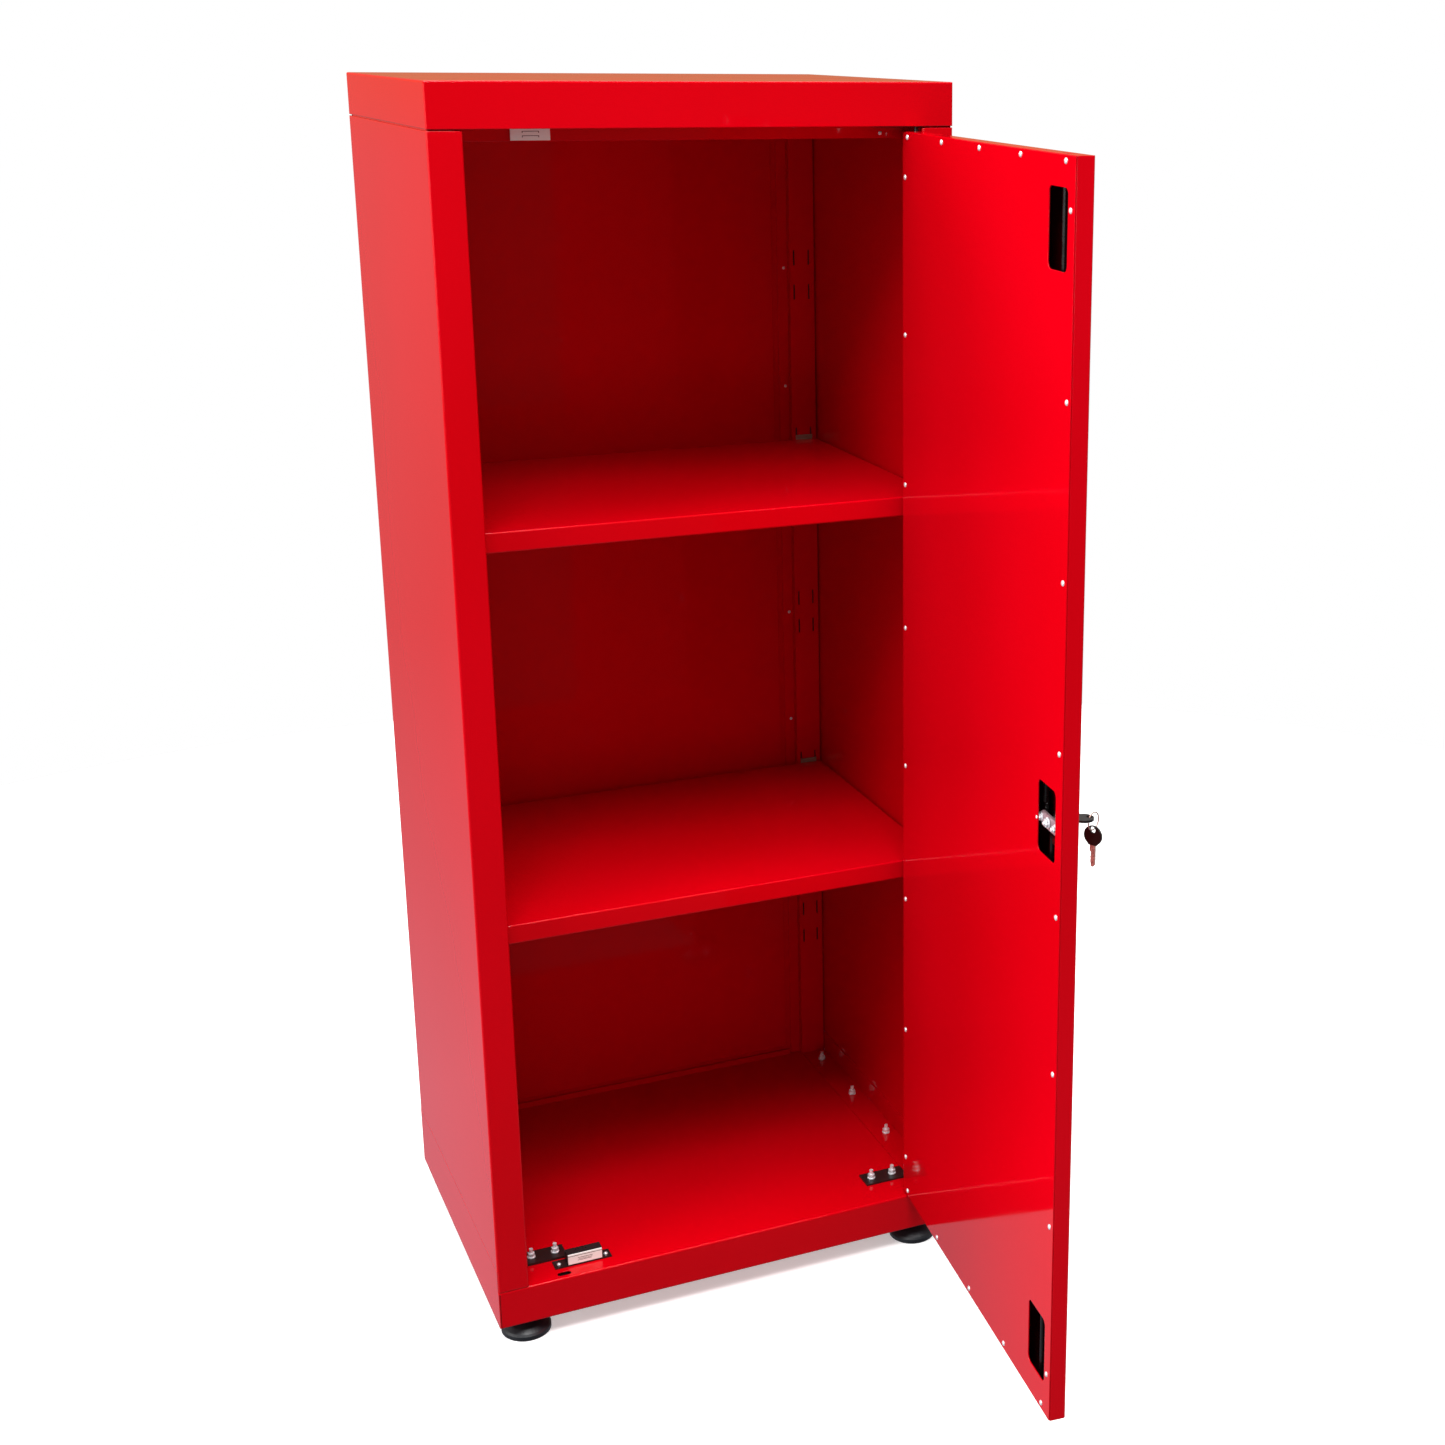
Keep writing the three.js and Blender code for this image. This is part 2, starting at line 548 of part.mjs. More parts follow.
function bladeOutline(length) {
  const tip = BOW_RADIUS - 0.2 + length;
  const s = new THREE.Shape();
  const teeth = [[1.4, 8], [2.3, 9.5], [1.6, 11], [2.6, 13], [1.8, 15], [2.4, 16.5]];
  s.moveTo(-3.4, BOW_RADIUS - 0.2);
  s.lineTo(3.4, BOW_RADIUS - 0.2);
  s.lineTo(3.4, BOW_RADIUS + 6);
  for (const [x, d] of teeth) s.lineTo(x, BOW_RADIUS + d);
  s.lineTo(1.2, tip);
  s.lineTo(-1.2, tip);
  s.lineTo(-3.4, tip - 2.4);
  s.closePath();
  return s;
}

const bowSolid = () => extruded(bowOutline(), 2.6, 10).translate(0, 0, -1.3);
const bladeSolid = (length) => extruded(bladeOutline(length), 2, 4).translate(0, 0, -1);

function keyRing() {
  const ring = new THREE.TorusGeometry(RING_RADIUS, RING_TUBE, 10, 44);
  ring.rotateX(Math.PI / 2);
  const drop = rad(RING_DROP);
  ring.translate(RING_RADIUS * Math.cos(drop), 0, -RING_RADIUS * Math.sin(drop));
  ring.rotateZ(rad(RING_YAW));
  return solid(ring.translate(LOCK_X, BOW_CENTRE - BOW_HOLE, LOCK_Z));
}

// The second key hangs from the lowest point of the ring, its face square to the ring wire
function hangOnRing(geometry) {
  const drop = rad(RING_DROP);
  const reach = RING_RADIUS * Math.cos(drop);
  geometry.translate(0, BOW_HOLE, 0);
  geometry.rotateX(-Math.PI / 2).rotateZ(Math.PI / 2);
  geometry.translate(reach, 0, -RING_RADIUS * Math.sin(drop) - RING_RADIUS);
  geometry.rotateZ(rad(RING_YAW));
  return solid(geometry.translate(LOCK_X, BOW_CENTRE - BOW_HOLE, LOCK_Z));
}

const cabinet = new THREE.Group();
cabinet.name = "flammable_storage_cabinet";
const door = new THREE.Group();
door.name = "door_leaf";

cabinet.add(piece("base_tray", baseTray()));
cabinet.add(piece("top_cap", topCap()));
cabinet.add(piece("header_rail", headerRail()));
cabinet.add(piece("back_panel", backPanel()));
for (const side of SIDES) {
  cabinet.add(piece(`side_panel_${side}`, sidePanel(side)));
  cabinet.add(piece(`shelf_upright_${side}`, rearUpright(side)));
  FLANGE_BOLTS_Y.forEach((y, i) => {
    const bolt = deckBolt(flip(side, FLANGE_BOLT_X), y, DECK + FIT + SHEET);
    cabinet.add(piece(`deck_bolt_${side}_${i + 1}`, bolt));
  });
}
for (const [level, top] of Object.entries(SHELF_TOPS)) {
  cabinet.add(piece(`shelf_${level}`, shelf(top)));
  for (const side of SIDES) {
    cabinet.add(piece(`shelf_clip_${level}_front_${side}`, shelfClip(side, false, top)));
    cabinet.add(piece(`shelf_clip_${level}_rear_${side}`, shelfClip(side, true, top)));
  }
}
for (const [where, x, y] of FEET) {
  cabinet.add(piece(`foot_pad_${where}`, footPad(x, y)));
  cabinet.add(piece(`foot_stem_${where}`, footStem(x, y)));
}
cabinet.add(piece("hinge_plate_bottom", bottomHingePlate()));
cabinet.add(piece("hinge_plate_top", topHingePlate()));
cabinet.add(piece("corner_plate_left", leftPlate()));
PLATE_BOLTS.right.forEach((x, i) =>
  cabinet.add(piece(`plate_bolt_right_${i + 1}`, deckBolt(x, PLATE_BOLT_Y, PLATE_TOP))));
PLATE_BOLTS.left.forEach((x, i) =>
  cabinet.add(piece(`plate_bolt_left_${i + 1}`, deckBolt(x, PLATE_BOLT_Y, PLATE_LOW + 3))));
cabinet.add(piece("catch_base_bottom", catchBase()));
cabinet.add(piece("catch_housing_bottom", catchHousing(CATCH.x0, CATCH.z0, CATCH.y0)));
cabinet.add(piece("catch_face_bottom", catchFace(CATCH.x0, CATCH.z0, CATCH.y0)));
cabinet.add(piece("catch_face_top", catchFace(92, 1437.6, STOP_FRONT - 2.1)));

door.add(piece("door_outer", doorOuter()));
door.add(piece("door_liner", doorLiner()));
door.add(piece("pivot_pin_bottom", pivotPinBottom()));
door.add(piece("pivot_pin_top", pivotPinTop()));
door.add(piece("lock_barrel", lockBarrel()));
door.add(piece("lock_nut", lockNut()));
door.add(piece("lock_plug", lockPlug()));
door.add(piece("lock_cam", lockCam()));
door.add(piece("lock_rod_upper", lockRod(true)));
door.add(piece("lock_rod_lower", lockRod(false)));
door.add(piece("rod_guide_upper", rodGuide(1290)));
door.add(piece("rod_guide_lower", rodGuide(250)));
const place = (g) => solid(g.translate(LOCK_X, BOW_CENTRE, LOCK_Z));
door.add(piece("key_bow", place(bowSolid())));
door.add(piece("key_blade", place(bladeSolid(20))));
door.add(piece("key_ring", keyRing()));
door.add(piece("spare_key_bow", hangOnRing(bowSolid())));
door.add(piece("spare_key_blade", hangOnRing(bladeSolid(24))));

// Swing the closed leaf open about its pivot
door.position.set(PIVOT_X, PIVOT_Y, 0);
door.rotation.z = rad(DOOR_OPEN);
for (const m of door.children) m.position.set(-PIVOT_X, -PIVOT_Y, 0);
cabinet.add(door);

// Centre the group on its overall footprint
const FOOTPRINT_Y = 32;
cabinet.position.set(-WIDTH / 2, FOOTPRINT_Y, 0);
cabinet.updateMatrixWorld(true);

export default cabinet;
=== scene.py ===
import math

import bmesh
import bpy
from mathutils import Euler, Matrix, Vector


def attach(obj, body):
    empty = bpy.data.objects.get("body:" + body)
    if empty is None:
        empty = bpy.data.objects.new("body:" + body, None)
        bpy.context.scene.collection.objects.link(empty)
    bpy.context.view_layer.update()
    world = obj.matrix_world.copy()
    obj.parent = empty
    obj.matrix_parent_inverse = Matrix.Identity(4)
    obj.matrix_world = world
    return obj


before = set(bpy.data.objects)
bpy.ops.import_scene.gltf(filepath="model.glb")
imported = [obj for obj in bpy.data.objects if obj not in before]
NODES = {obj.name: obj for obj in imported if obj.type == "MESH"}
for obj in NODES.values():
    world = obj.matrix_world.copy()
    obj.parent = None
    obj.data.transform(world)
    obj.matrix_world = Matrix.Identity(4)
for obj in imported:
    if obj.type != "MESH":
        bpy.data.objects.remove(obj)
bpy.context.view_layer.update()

# Cabinet drawing coordinates are millimetres: x from the left side, y from the front, z from the floor.
# The door is drawn closed and stands open by DOOR_OPEN about its pivot.
CABINET = Matrix.Translation((-0.300, 0.032, 0)) @ Matrix.Scale(0.001, 4)
DOOR_OPEN = math.radians(84.4)
PIVOT = Vector((556.5, 6.0, 0))
DOOR = CABINET @ Matrix.Translation(PIVOT) @ Matrix.Rotation(DOOR_OPEN, 4, "Z") @ Matrix.Translation(-PIVOT)


# ---------------------------------------------------------------- materials
# Colours are linear. Bend radii are metres, as are the centre and half size of the space in the closed door.
RED, RED_DEEP, RED_LIGHT = (0.60, 0.0, 0.005), (0.58, 0.0, 0.004), (0.62, 0.0, 0.006)
# Painted shade for the walls inside the door's shell: a near-black red.
HOLLOW_SHADE = (0.06, 0.0, 0.002)
FOLD, THIN_FOLD = 0.0016, 0.0008
DOOR_HOLLOW = ((-0.2565, 0.0045, 0.762), (0.2604, 0.0088, 0.6824))


def shader(name, colour, rough, metal=0.0, level=0.5):
    """A plain Principled material. Returns the material, its node tree and its shader node."""
    m = bpy.data.materials.new(name)
    m.use_nodes = True
    tree = m.node_tree
    p = tree.nodes["Principled BSDF"]
    p.inputs["Base Color"].default_value = (*colour, 1)
    p.inputs["Roughness"].default_value = rough
    p.inputs["Metallic"].default_value = metal
    p.inputs["Specular IOR Level"].default_value = level
    return m, tree, p


def noise(tree, scale):
    """Noise over the piece's own coordinates, in metres. Returns the factor socket."""
    where = tree.nodes.new("ShaderNodeTexCoord")
    made = tree.nodes.new("ShaderNodeTexNoise")
    made.inputs["Scale"].default_value = scale
    tree.links.new(where.outputs["Object"], made.inputs["Vector"])
    return made.outputs["Fac"]


def spread(tree, factor, low, high, socket):
    """Carries a 0.3..0.7 noise factor to low..high on a socket."""
    r = tree.nodes.new("ShaderNodeMapRange")
    r.inputs["From Min"].default_value, r.inputs["From Max"].default_value = 0.3, 0.7
    r.inputs["To Min"].default_value, r.inputs["To Max"].default_value = low, high
    tree.links.new(factor, r.inputs["Value"])
    tree.links.new(r.outputs["Result"], socket)


def tint(tree, factor, a, b, socket):
    """Mixes two close colours by a noise factor."""
    r = tree.nodes.new("ShaderNodeValToRGB")
    r.color_ramp.elements[0].position, r.color_ramp.elements[1].position = 0.3, 0.7
    r.color_ramp.elements[0].color, r.color_ramp.elements[1].color = (*a, 1), (*b, 1)
    tree.links.new(factor, r.inputs["Fac"])
    tree.links.new(r.outputs["Color"], socket)


def bumps(tree, factor, strength, distance, socket):
    """Turns a noise factor into a fine relief on a normal socket."""
    b = tree.nodes.new("ShaderNodeBump")
    b.inputs["Strength"].default_value = strength
    b.inputs["Distance"].default_value = distance
    tree.links.new(factor, b.inputs["Height"])
    tree.links.new(b.outputs["Normal"], socket)


def within(tree, where, centre, half):
    """1 inside a box given in the coordinates of a vector socket, 0 outside."""
    split = tree.nodes.new("ShaderNodeSeparateXYZ")
    tree.links.new(where, split.inputs["Vector"])
    inside = None
    for axis, c, h in zip("XYZ", centre, half):
        test = tree.nodes.new("ShaderNodeMath")
        test.operation = "COMPARE"
        test.inputs[1].default_value, test.inputs[2].default_value = c, h
        tree.links.new(split.outputs[axis], test.inputs[0])
        if inside is None:
            inside = test.outputs["Value"]
            continue
        both = tree.nodes.new("ShaderNodeMath")
        both.operation = "MULTIPLY"
        tree.links.new(inside, both.inputs[0])
        tree.links.new(test.outputs["Value"], both.inputs[1])
        inside = both.outputs["Value"]
    return inside


def powder_coat(name, fold, hollow=None):
    """Glossy red powder coat on folded sheet. Fold is the bend radius, in metres, that rounds the edges.
    Hollow gives the centre and half size of a closed space, with the door closed, whose walls get a painted
    shade, a near-black red."""
    m, tree, p = shader(name, RED, 0.12, level=0.3)
    tint(tree, noise(tree, 2.5), RED_DEEP, RED_LIGHT, p.inputs["Base Color"])
    spread(tree, noise(tree, 12), 0.05, 0.09, p.inputs["Roughness"])
    rounded = tree.nodes.new("ShaderNodeBevel")
    rounded.samples = 6
    rounded.inputs["Radius"].default_value = fold
    tree.links.new(rounded.outputs["Normal"], p.inputs["Normal"])
    # Painted shade: walls inside the door's shell get a near-black red mixed over the coat.
    if hollow:
        where = tree.nodes.new("ShaderNodeTexCoord")
        closed = tree.nodes.new("ShaderNodeMapping")
        turn = Matrix.Rotation(-DOOR_OPEN, 3, "Z")
        closed.inputs["Location"].default_value = -(turn @ (CABINET @ PIVOT))
        closed.inputs["Rotation"].default_value = (0, 0, -DOOR_OPEN)
        tree.links.new(where.outputs["Object"], closed.inputs["Vector"])
        shade_mix = tree.nodes.new("ShaderNodeMix")
        shade_mix.data_type = "RGBA"
        shade_mix.inputs["B"].default_value = (*HOLLOW_SHADE, 1)
        tree.links.new(within(tree, closed.outputs["Vector"], *hollow), shade_mix.inputs["Factor"])
        tree.links.new(p.inputs["Base Color"].links[0].from_socket, shade_mix.inputs["A"])
        tree.links.new(shade_mix.outputs["Result"], p.inputs["Base Color"])
    return m


def zinc(name, colour=(0.92, 0.94, 0.98), rough=0.24, metal=0.5):
    """Plated steel with a slightly uneven gloss."""
    m, tree, p = shader(name, colour, rough, metal=metal)
    spread(tree, noise(tree, 240), rough - 0.08, rough + 0.12, p.inputs["Roughness"])
    return m


def satin_black(name, colour, rough, grain):
    """Black paint or moulded plastic; grain is the scale of its fine relief."""
    m, tree, p = shader(name, colour, rough)
    spread(tree, noise(tree, 90), rough - 0.06, rough + 0.08, p.inputs["Roughness"])
    bumps(tree, noise(tree, grain), 0.12, 0.0003, p.inputs["Normal"])
    return m


COAT = powder_coat("red_powder_coat", FOLD)
COAT_THIN = powder_coat("red_powder_coat_thin_sheet", THIN_FOLD)
COAT_DOOR = powder_coat("red_powder_coat_door", FOLD, DOOR_HOLLOW)
BLACK_PLATE = satin_black("black_plate", (0.016, 0.009, 0.009), 0.33, 700)
ROD = satin_black("black_rod", (0.004, 0.003, 0.003), 0.24, 700)
CATCH_BODY = satin_black("catch_housing", (0.014, 0.013, 0.014), 0.30, 900)
FOOT = satin_black("foot_plastic", (0.012, 0.014, 0.018), 0.42, 1200)
KEY_PLASTIC = satin_black("key_plastic", (0.010, 0.009, 0.009), 0.36, 1500)
CATCH_FACE = shader("catch_face", (0.88, 0.92, 0.88), 0.38)[0]
ZINC = zinc("zinc_steel")
CLIP = zinc("clip_steel", (0.36, 0.26, 0.19), 0.36)
CHROME = zinc("lock_chrome", (0.75, 0.75, 0.76), 0.16, 1.0)
# The cam's pinkish tint is painted reflection of the red coat around it, over the grey of plated steel.
CAM_RED_REFLECTION = zinc("cam_steel", (0.42, 0.27, 0.31), 0.34, 0.45)
KEY_STEEL = zinc("key_steel", (0.74, 0.58, 0.50), 0.26, 0.55)
# Near-black painted shade for the space behind the clip slots and inside the rod hole's sleeve.
SHADE_BLACK = shader("recess_painted_shade", (0.004, 0.003, 0.003), 0.6)[0]
# Dark brown painted shade for the grooves moulded in the white catch faces.
GROOVE_SHADE = shader("catch_groove_painted_shade", (0.06, 0.035, 0.03), 0.6)[0]

# Which CAD bodies each material goes on. Feet and clips are found by name, and the rest is zinc.
FINISH = {
    COAT: "base_tray top_cap header_rail back_panel side_panel_left side_panel_right shelf_upright_left "
    "shelf_upright_right shelf_upper shelf_lower",
    COAT_THIN: "door_liner",
    COAT_DOOR: "door_outer",
    BLACK_PLATE: "hinge_plate_bottom hinge_plate_top corner_plate_left catch_base_bottom "
    "pivot_pin_bottom pivot_pin_top",
    ROD: "lock_rod_upper lock_rod_lower rod_guide_upper rod_guide_lower",
    CATCH_BODY: "catch_housing_bottom",
    CATCH_FACE: "catch_face_bottom catch_face_top",
    CHROME: "lock_barrel lock_nut lock_plug",
    CAM_RED_REFLECTION: "lock_cam",
    KEY_PLASTIC: "key_bow spare_key_bow",
    KEY_STEEL: "key_blade spare_key_blade key_ring",
}
finish_of = {n: m for m, names in FINISH.items() for n in names.split()}
for n, o in NODES.items():
    m = finish_of.get(n)
    if m is None:
        m = FOOT if n.startswith("foot_pad") else CLIP if n.startswith("shelf_clip") else ZINC
    o.data.materials.clear()
    o.data.materials.append(m)


# ---------------------------------------------------------------- small pieces
def lathe(bm, profile, place, sides=16):
    """Adds a closed turned body. Profile is (radius, height) from the base to the axis, place a matrix."""
    rings = []
    for r, h in profile[:-1]:
        rings.append([bm.verts.new(place @ Vector((r * math.cos(a), r * math.sin(a), h)))
                      for a in (2 * math.pi * k / sides for k in range(sides))])
    tip = bm.verts.new(place @ Vector((0, 0, profile[-1][1])))
    for low, high in zip(rings, rings[1:]):
        for k in range(sides):
            j = (k + 1) % sides
            bm.faces.new((low[k], low[j], high[j], high[k]))
    for k in range(sides):
        bm.faces.new((rings[-1][k], rings[-1][(k + 1) % sides], tip))
    bm.faces.new(tuple(reversed(rings[0])))


def block(bm, low, high, place):
    """Adds a box between two corners."""
    c = [bm.verts.new(place @ Vector((x, y, z)))
         for x in (low[0], high[0]) for y in (low[1], high[1]) for z in (low[2], high[2])]
    for f in ((0, 1, 3, 2), (4, 6, 7, 5), (0, 4, 5, 1), (2, 3, 7, 6), (0, 2, 6, 4), (1, 5, 7, 3)):
        bm.faces.new([c[i] for i in f])


def stand(space, x, y, z, tilt=0):
    """Place of a turned body on a face: its axis points up, to the front (tilt 90) or to the back (-90)."""
    return space @ Matrix.Translation((x, y, z)) @ Matrix.Rotation(math.radians(tilt), 4, "X")


def piece(name, bm, body, material, smooth=40):
    """Turns a bmesh in the row frame into a piece that rides on a CAD body. Smooth is the angle, in degrees,
    above which an edge stays sharp; 0 leaves every face flat."""
    bmesh.ops.recalc_face_normals(bm, faces=bm.faces)
    mesh = bpy.data.meshes.new(name)
    bm.to_mesh(mesh)
    bm.free()
    mesh.materials.append(material)
    if smooth:
        mesh.shade_smooth()
        mesh.set_sharp_from_angle(angle=math.radians(smooth))
    o = bpy.data.objects.new(name, mesh)
    bpy.context.scene.collection.objects.link(o)
    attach(o, body)


# Rivets that hold the door's inner sheet: two rows across, one column by each long edge.
RIVET = [(3.1, 0.0), (3.0, 0.5), (2.4, 1.1), (1.3, 1.5), (0, 1.65)]
LINER_FACE = 21.0
HINGE_EDGE = 561.0
ROW_HEIGHTS, ROW_STEPS = (1439, 87), (18, 138, 259, 379, 498)
COLUMN_HEIGHTS, COLUMN_STEPS = (1394, 1213, 1034, 856, 678, 499, 317, 133), (10, 512)
bm = bmesh.new()
for heights, steps in ((ROW_HEIGHTS, ROW_STEPS), (COLUMN_HEIGHTS, COLUMN_STEPS)):
    for z in heights:
        for step in steps:
            lathe(bm, RIVET, stand(DOOR, HINGE_EDGE - step, LINER_FACE, z, -90))
piece("liner_rivets", bm, "door", ZINC)

# Screws on the rear lips of the side panels, seen from inside, and one on the header lip.
LIP_SCREW = [(2.2, 0), (2.1, 0.5), (1.3, 1.0), (0, 1.2)]
REAR_LIP_FACE, HEADER_LIP_FACE = 450.8, 24
bm = bmesh.new()
for x in (43, 557):
    for z in (1247, 1086, 764, 605):
        lathe(bm, LIP_SCREW, stand(CABINET, x, REAR_LIP_FACE, z, 90), 12)
lathe(bm, LIP_SCREW, stand(CABINET, 519, HEADER_LIP_FACE, 1442.6, 90), 12)
piece("panel_screws", bm, "cabinet", ZINC)

# Pan head screws through the ears of the catch.
PAN_HEAD = [(2.6, -1.5), (2.6, 0.4), (2.2, 1.3), (1.2, 1.9), (0, 2.0)]
EAR_TOP = 77.6
bm = bmesh.new()
for x in (82.5, 142):
    lathe(bm, PAN_HEAD, stand(CABINET, x, 30, EAR_TOP))
piece("catch_screws", bm, "cabinet", ZINC)

# Painted shade of the lines moulded in the white catch faces: dark blocks just proud of each face, each
# (left, right, bottom, top):
# a rim line and short bars on the lower face, and two brackets on the upper one, drawn about the height of
# each.
BARS = [
    (92.6, 135.4, 89.2, 89.8), (104.5, 123.5, 85.7, 86.2),
    (105.5, 123, 83.9, 84.3), (104.5, 122, 82.3, 82.8),
]
BRACKET = [(105, 123.4, -0.25, 0.35), (105, 105.8, -1.6, -0.25), (122.6, 123.4, -1.6, -0.25)]
BAR_FRONT, BAR_BACK = 21.9, 22.3
BRACKET_FRONT, BRACKET_BACK = 21.75, 22.2
bm = bmesh.new()
for x0, x1, z0, z1 in BARS:
    block(bm, (x0, BAR_FRONT, z0), (x1, BAR_BACK, z1), CABINET)
for z in (1447.6, 1442.9):
    for x0, x1, z0, z1 in BRACKET:
        block(bm, (x0, BRACKET_FRONT, z + z0), (x1, BRACKET_BACK, z + z1), CABINET)
piece("catch_face_bars", bm, "cabinet", GROOVE_SHADE, smooth=0)

# Painted shade behind the clip slots of the rear uprights: black strips set just behind each slot, where
# there is only shade.
SLOT_HEIGHTS, SLOT_COLUMNS = (1261, 1215, 1019, 968, 786, 745, 546, 496, 311, 268), (11, 32, 568, 589)
HALF_WIDE, HALF_TALL = 1.8, 11
SLOT_FRONT, SLOT_BACK = 441.3, 441.7
bm = bmesh.new()
for z in SLOT_HEIGHTS:
    for x in SLOT_COLUMNS:
        low, high = (x - HALF_WIDE, SLOT_FRONT, z - HALF_TALL), (x + HALF_WIDE, SLOT_BACK, z + HALF_TALL)
        block(bm, low, high, CABINET)
piece("clip_slot_painted_shade", bm, "cabinet", SHADE_BLACK, smooth=0)

# Sleeve under the deck's hole for the lower lock rod, near-black so that it paints the shade inside the hole.
SLEEVE_WALLS = [(74, 94, 4.8, 5.8), (74, 94, 15.2, 16.2), (74, 75, 5.8, 15.2), (93, 94, 5.8, 15.2)]
SLEEVE_BOTTOM, SLEEVE_TOP = 58, 74.7
bm = bmesh.new()
for x0, x1, y0, y1 in SLEEVE_WALLS:
    block(bm, (x0, y0, SLEEVE_BOTTOM), (x1, y1, SLEEVE_TOP), CABINET)
piece("rod_hole_shade_sleeve", bm, "cabinet", SHADE_BLACK, smooth=0)

# Nuts and bolt ends on the lock cam: one on each stud and a larger one, each (face, radius), on the spindle.
LOCK_ACROSS, LOCK_HEIGHT, CAM_REACH = 88, 768, 20
STUD_NUT, SPINDLE_NUT = (15.7, 4.0), (16.2, 5.0)
bm = bmesh.new()
for reach, (y, r) in ((-CAM_REACH, STUD_NUT), (0, SPINDLE_NUT), (CAM_REACH, STUD_NUT)):
    at = stand(DOOR, LOCK_ACROSS + reach, y, LOCK_HEIGHT, -90)
    lathe(bm, [(r + 1.2, 0), (r + 1.2, 0.7), (r + 0.4, 0.75), (0, 0.76)], at, 20)
    lathe(bm, [(r, 0.5), (r, 3.1), (r - 0.9, 3.8), (0, 3.85)], at, 6)
    lathe(bm, [(2.3, 3.6), (2.3, 5.0), (1.5, 5.9), (0, 6.1)], at, 14)
piece("cam_nuts", bm, "lock_core", ZINC, smooth=35)

# ---------------------------------------------------------------- floor, light and camera
# A pale disc, a little self-lit so that its shadows stay soft, and kept out of the glossy coat's reflections.
FLOOR_RADIUS, FLOOR_DROP, FLOOR_GLOW = 2.6, 0.0004, 0.40
bm = bmesh.new()
bmesh.ops.create_circle(bm, cap_ends=True, segments=128, radius=FLOOR_RADIUS)
mesh = bpy.data.meshes.new("floor")
bm.to_mesh(mesh)
bm.free()
floor = bpy.data.objects.new("floor", mesh)
floor.location.z = -FLOOR_DROP
bpy.context.scene.collection.objects.link(floor)
made, tree, p = shader("floor", (0.85, 0.85, 0.85), 0.9, level=0.0)
p.inputs["Emission Color"].default_value = (1, 1, 1, 1)
p.inputs["Emission Strength"].default_value = FLOOR_GLOW
mesh.materials.append(made)
floor.visible_glossy = floor.visible_diffuse = False

# Studio surroundings: white to the camera, and for light and reflections a dim room whose colour goes by
# elevation angle in degrees, darker on the side of the cabinet's front.
ROOM = [
    (-90, (0.30, 0.30, 0.34)), (-27, (0.33, 0.33, 0.39)), (-21, (0.25, 0.24, 0.27)),
    (-15, (0.20, 0.18, 0.18)), (-3, (0.25, 0.215, 0.20)), (1.5, (0.50, 0.22, 0.10)),
    (9, (0.26, 0.18, 0.13)), (35, (0.42, 0.42, 0.42)), (90, (0.60, 0.60, 0.60)),
]
FRONT_DIM = 0.2
world = bpy.data.worlds.new("studio")
bpy.context.scene.world = world
world.use_nodes = True
tree = world.node_tree
sky = tree.nodes["Background"]
where = tree.nodes.new("ShaderNodeTexCoord")
split = tree.nodes.new("ShaderNodeSeparateXYZ")
height = tree.nodes.new("ShaderNodeMapRange")
height.inputs["From Min"].default_value = -1
room = tree.nodes.new("ShaderNodeValToRGB")
ramp = room.color_ramp.elements
ramp.remove(ramp[1])
ramp[0].position, ramp[0].color = 0, (*ROOM[0][1], 1)
for angle, colour in ROOM[1:]:
    ramp.new(0.5 + 0.5 * math.sin(math.radians(angle))).color = (*colour, 1)
front = tree.nodes.new("ShaderNodeMapRange")
front.inputs["From Min"].default_value, front.inputs["From Max"].default_value = -0.9, -0.2
front.inputs["To Min"].default_value = FRONT_DIM
dim = tree.nodes.new("ShaderNodeVectorMath")
dim.operation = "SCALE"
path = tree.nodes.new("ShaderNodeLightPath")
seen = tree.nodes.new("ShaderNodeMix")
seen.data_type = "RGBA"
seen.inputs["B"].default_value = (1, 1, 1, 1)
tree.links.new(where.outputs["Generated"], split.inputs["Vector"])
tree.links.new(split.outputs["Z"], height.inputs["Value"])
tree.links.new(split.outputs["Y"], front.inputs["Value"])
tree.links.new(height.outputs["Result"], room.inputs["Fac"])
tree.links.new(room.outputs["Color"], dim.inputs["Vector"])
tree.links.new(front.outputs["Result"], dim.inputs["Scale"])
tree.links.new(dim.outputs["Vector"], seen.inputs["A"])
tree.links.new(path.outputs["Is Camera Ray"], seen.inputs["Factor"])
tree.links.new(seen.outputs["Result"], sky.inputs["Color"])


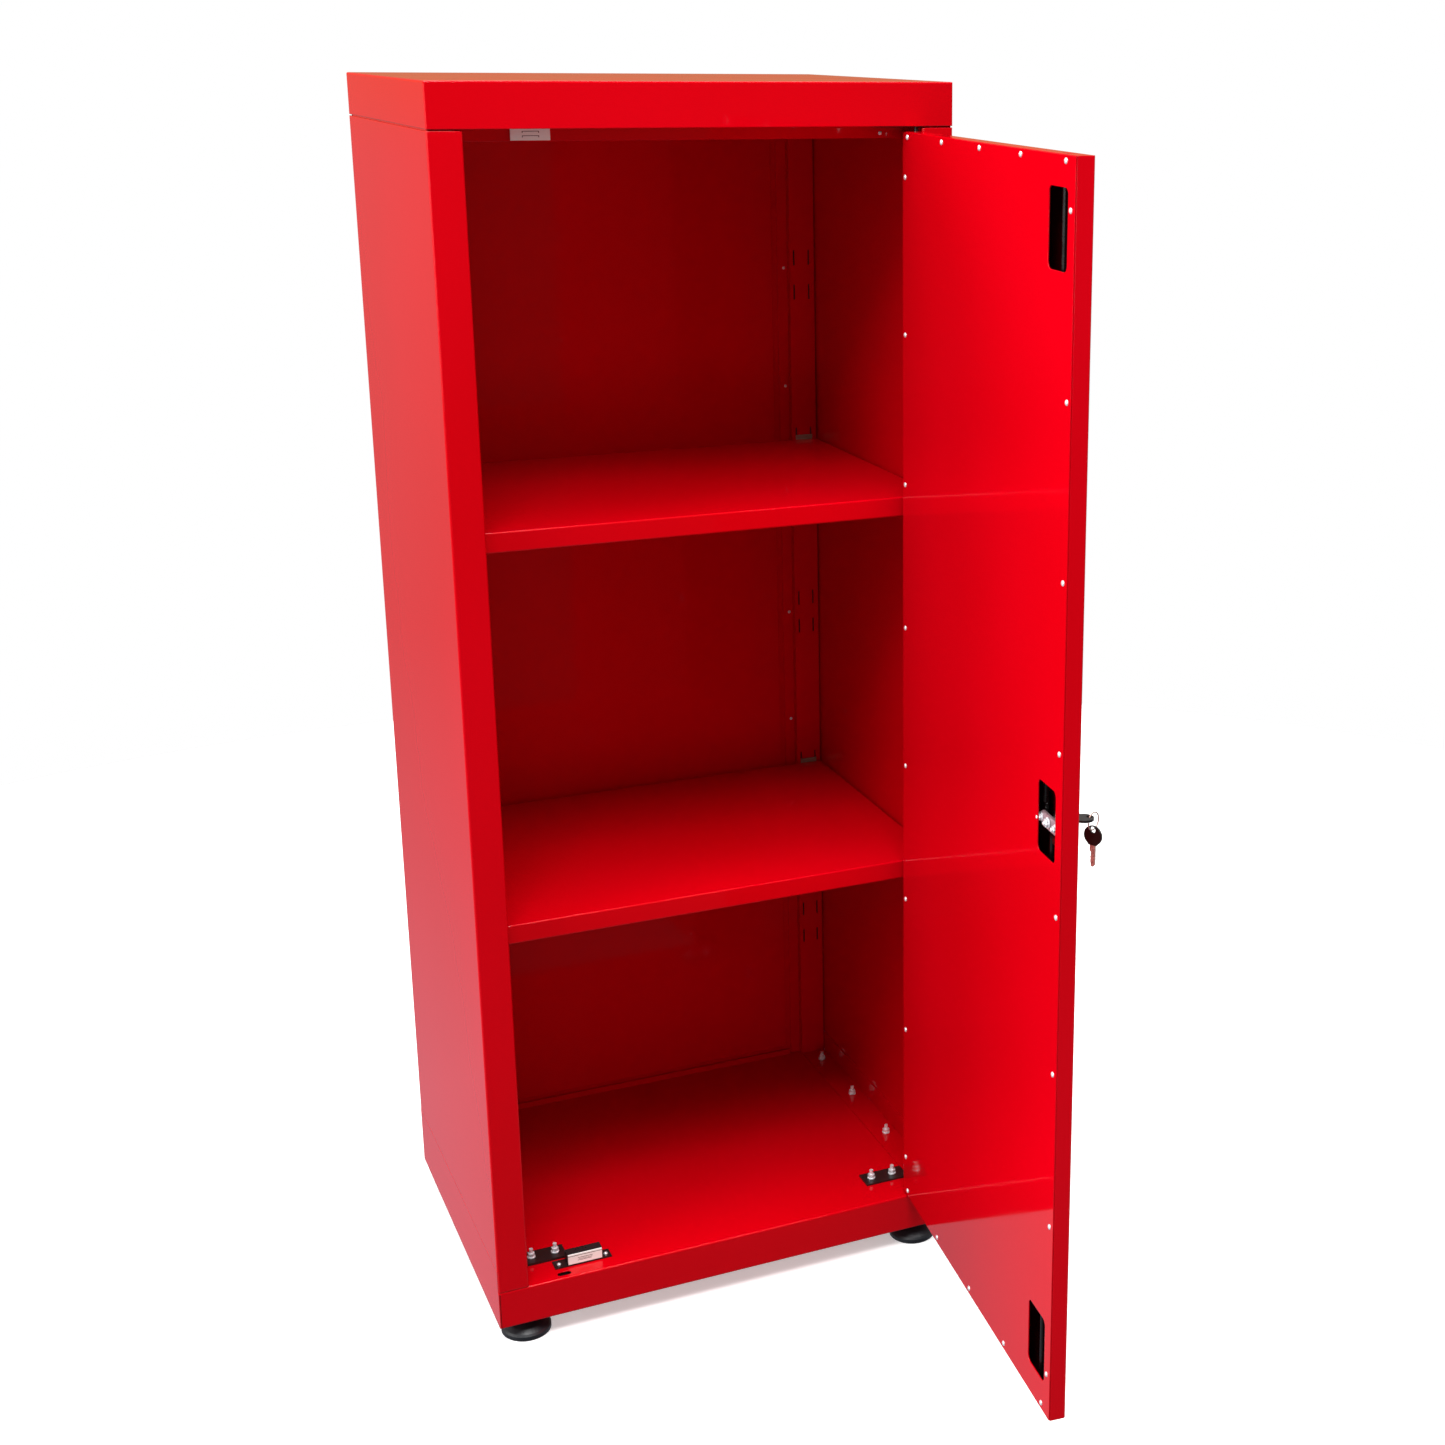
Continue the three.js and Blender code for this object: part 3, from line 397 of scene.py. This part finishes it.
def daylight(name, azimuth, elevation, spread_angle, strength, mirrored=True):
    """A soft lamp far away: azimuth 0 is the front of the cabinet, 90 its right side.
    Mirrored is false where its disc would show as a bright patch in the glossy coat."""
    lamp = bpy.data.lights.new(name, "SUN")
    lamp.angle = math.radians(spread_angle)
    lamp.energy = strength
    o = bpy.data.objects.new(name, lamp)
    o.rotation_euler = Euler((math.radians(90 - elevation), 0, math.radians(azimuth)))
    o.visible_glossy = mirrored
    bpy.context.scene.collection.objects.link(o)


def softbox(name, place, at, size, power, mirrored=True):
    """A rectangular lamp near the cabinet, in metres, turned to a point."""
    lamp = bpy.data.lights.new(name, "AREA")
    lamp.shape = "RECTANGLE"
    lamp.size, lamp.size_y = size
    lamp.energy = power
    o = bpy.data.objects.new(name, lamp)
    o.location = place
    o.rotation_euler = (Vector(at) - Vector(place)).to_track_quat("-Z", "Y").to_euler()
    o.visible_glossy = mirrored
    bpy.context.scene.collection.objects.link(o)


daylight("key", -12, 77, 34, 2.1)
daylight("back", 175, 50, 50, 0.9)
daylight("rim_left", -128, 14, 40, 2.4, mirrored=False)
daylight("left", -82, 15, 50, 1.55)
daylight("right", 85, 18, 60, 1.5, mirrored=False)
softbox("front_top", (-0.5, -1.7, 3.6), (0.0, 0.0, 1.2), (1.6, 1.0), 74)
softbox("front_low", (-0.6, -2.8, 0.5), (0.0, -0.3, 0.3), (1.2, 0.8), 10, mirrored=False)
softbox("left_top", (-2.3, -0.2, 2.5), (-0.1, 0.1, 1.0), (1.4, 1.4), 28)

lens = bpy.data.cameras.new("camera")
camera = bpy.data.objects.new("camera", lens)
bpy.context.scene.collection.objects.link(camera)
bpy.context.scene.camera = camera
camera.location = (-0.7565, -2.2510, 1.5474)
camera.rotation_euler = Euler((math.radians(73.652), math.radians(-0.688), math.radians(-26.046)))
lens.sensor_width = 36
lens.lens = 52.695
lens.shift_x, lens.shift_y = -0.1920, -0.0433
lens.clip_start, lens.clip_end = 0.05, 100

bpy.context.scene.view_settings.view_transform = "Standard"
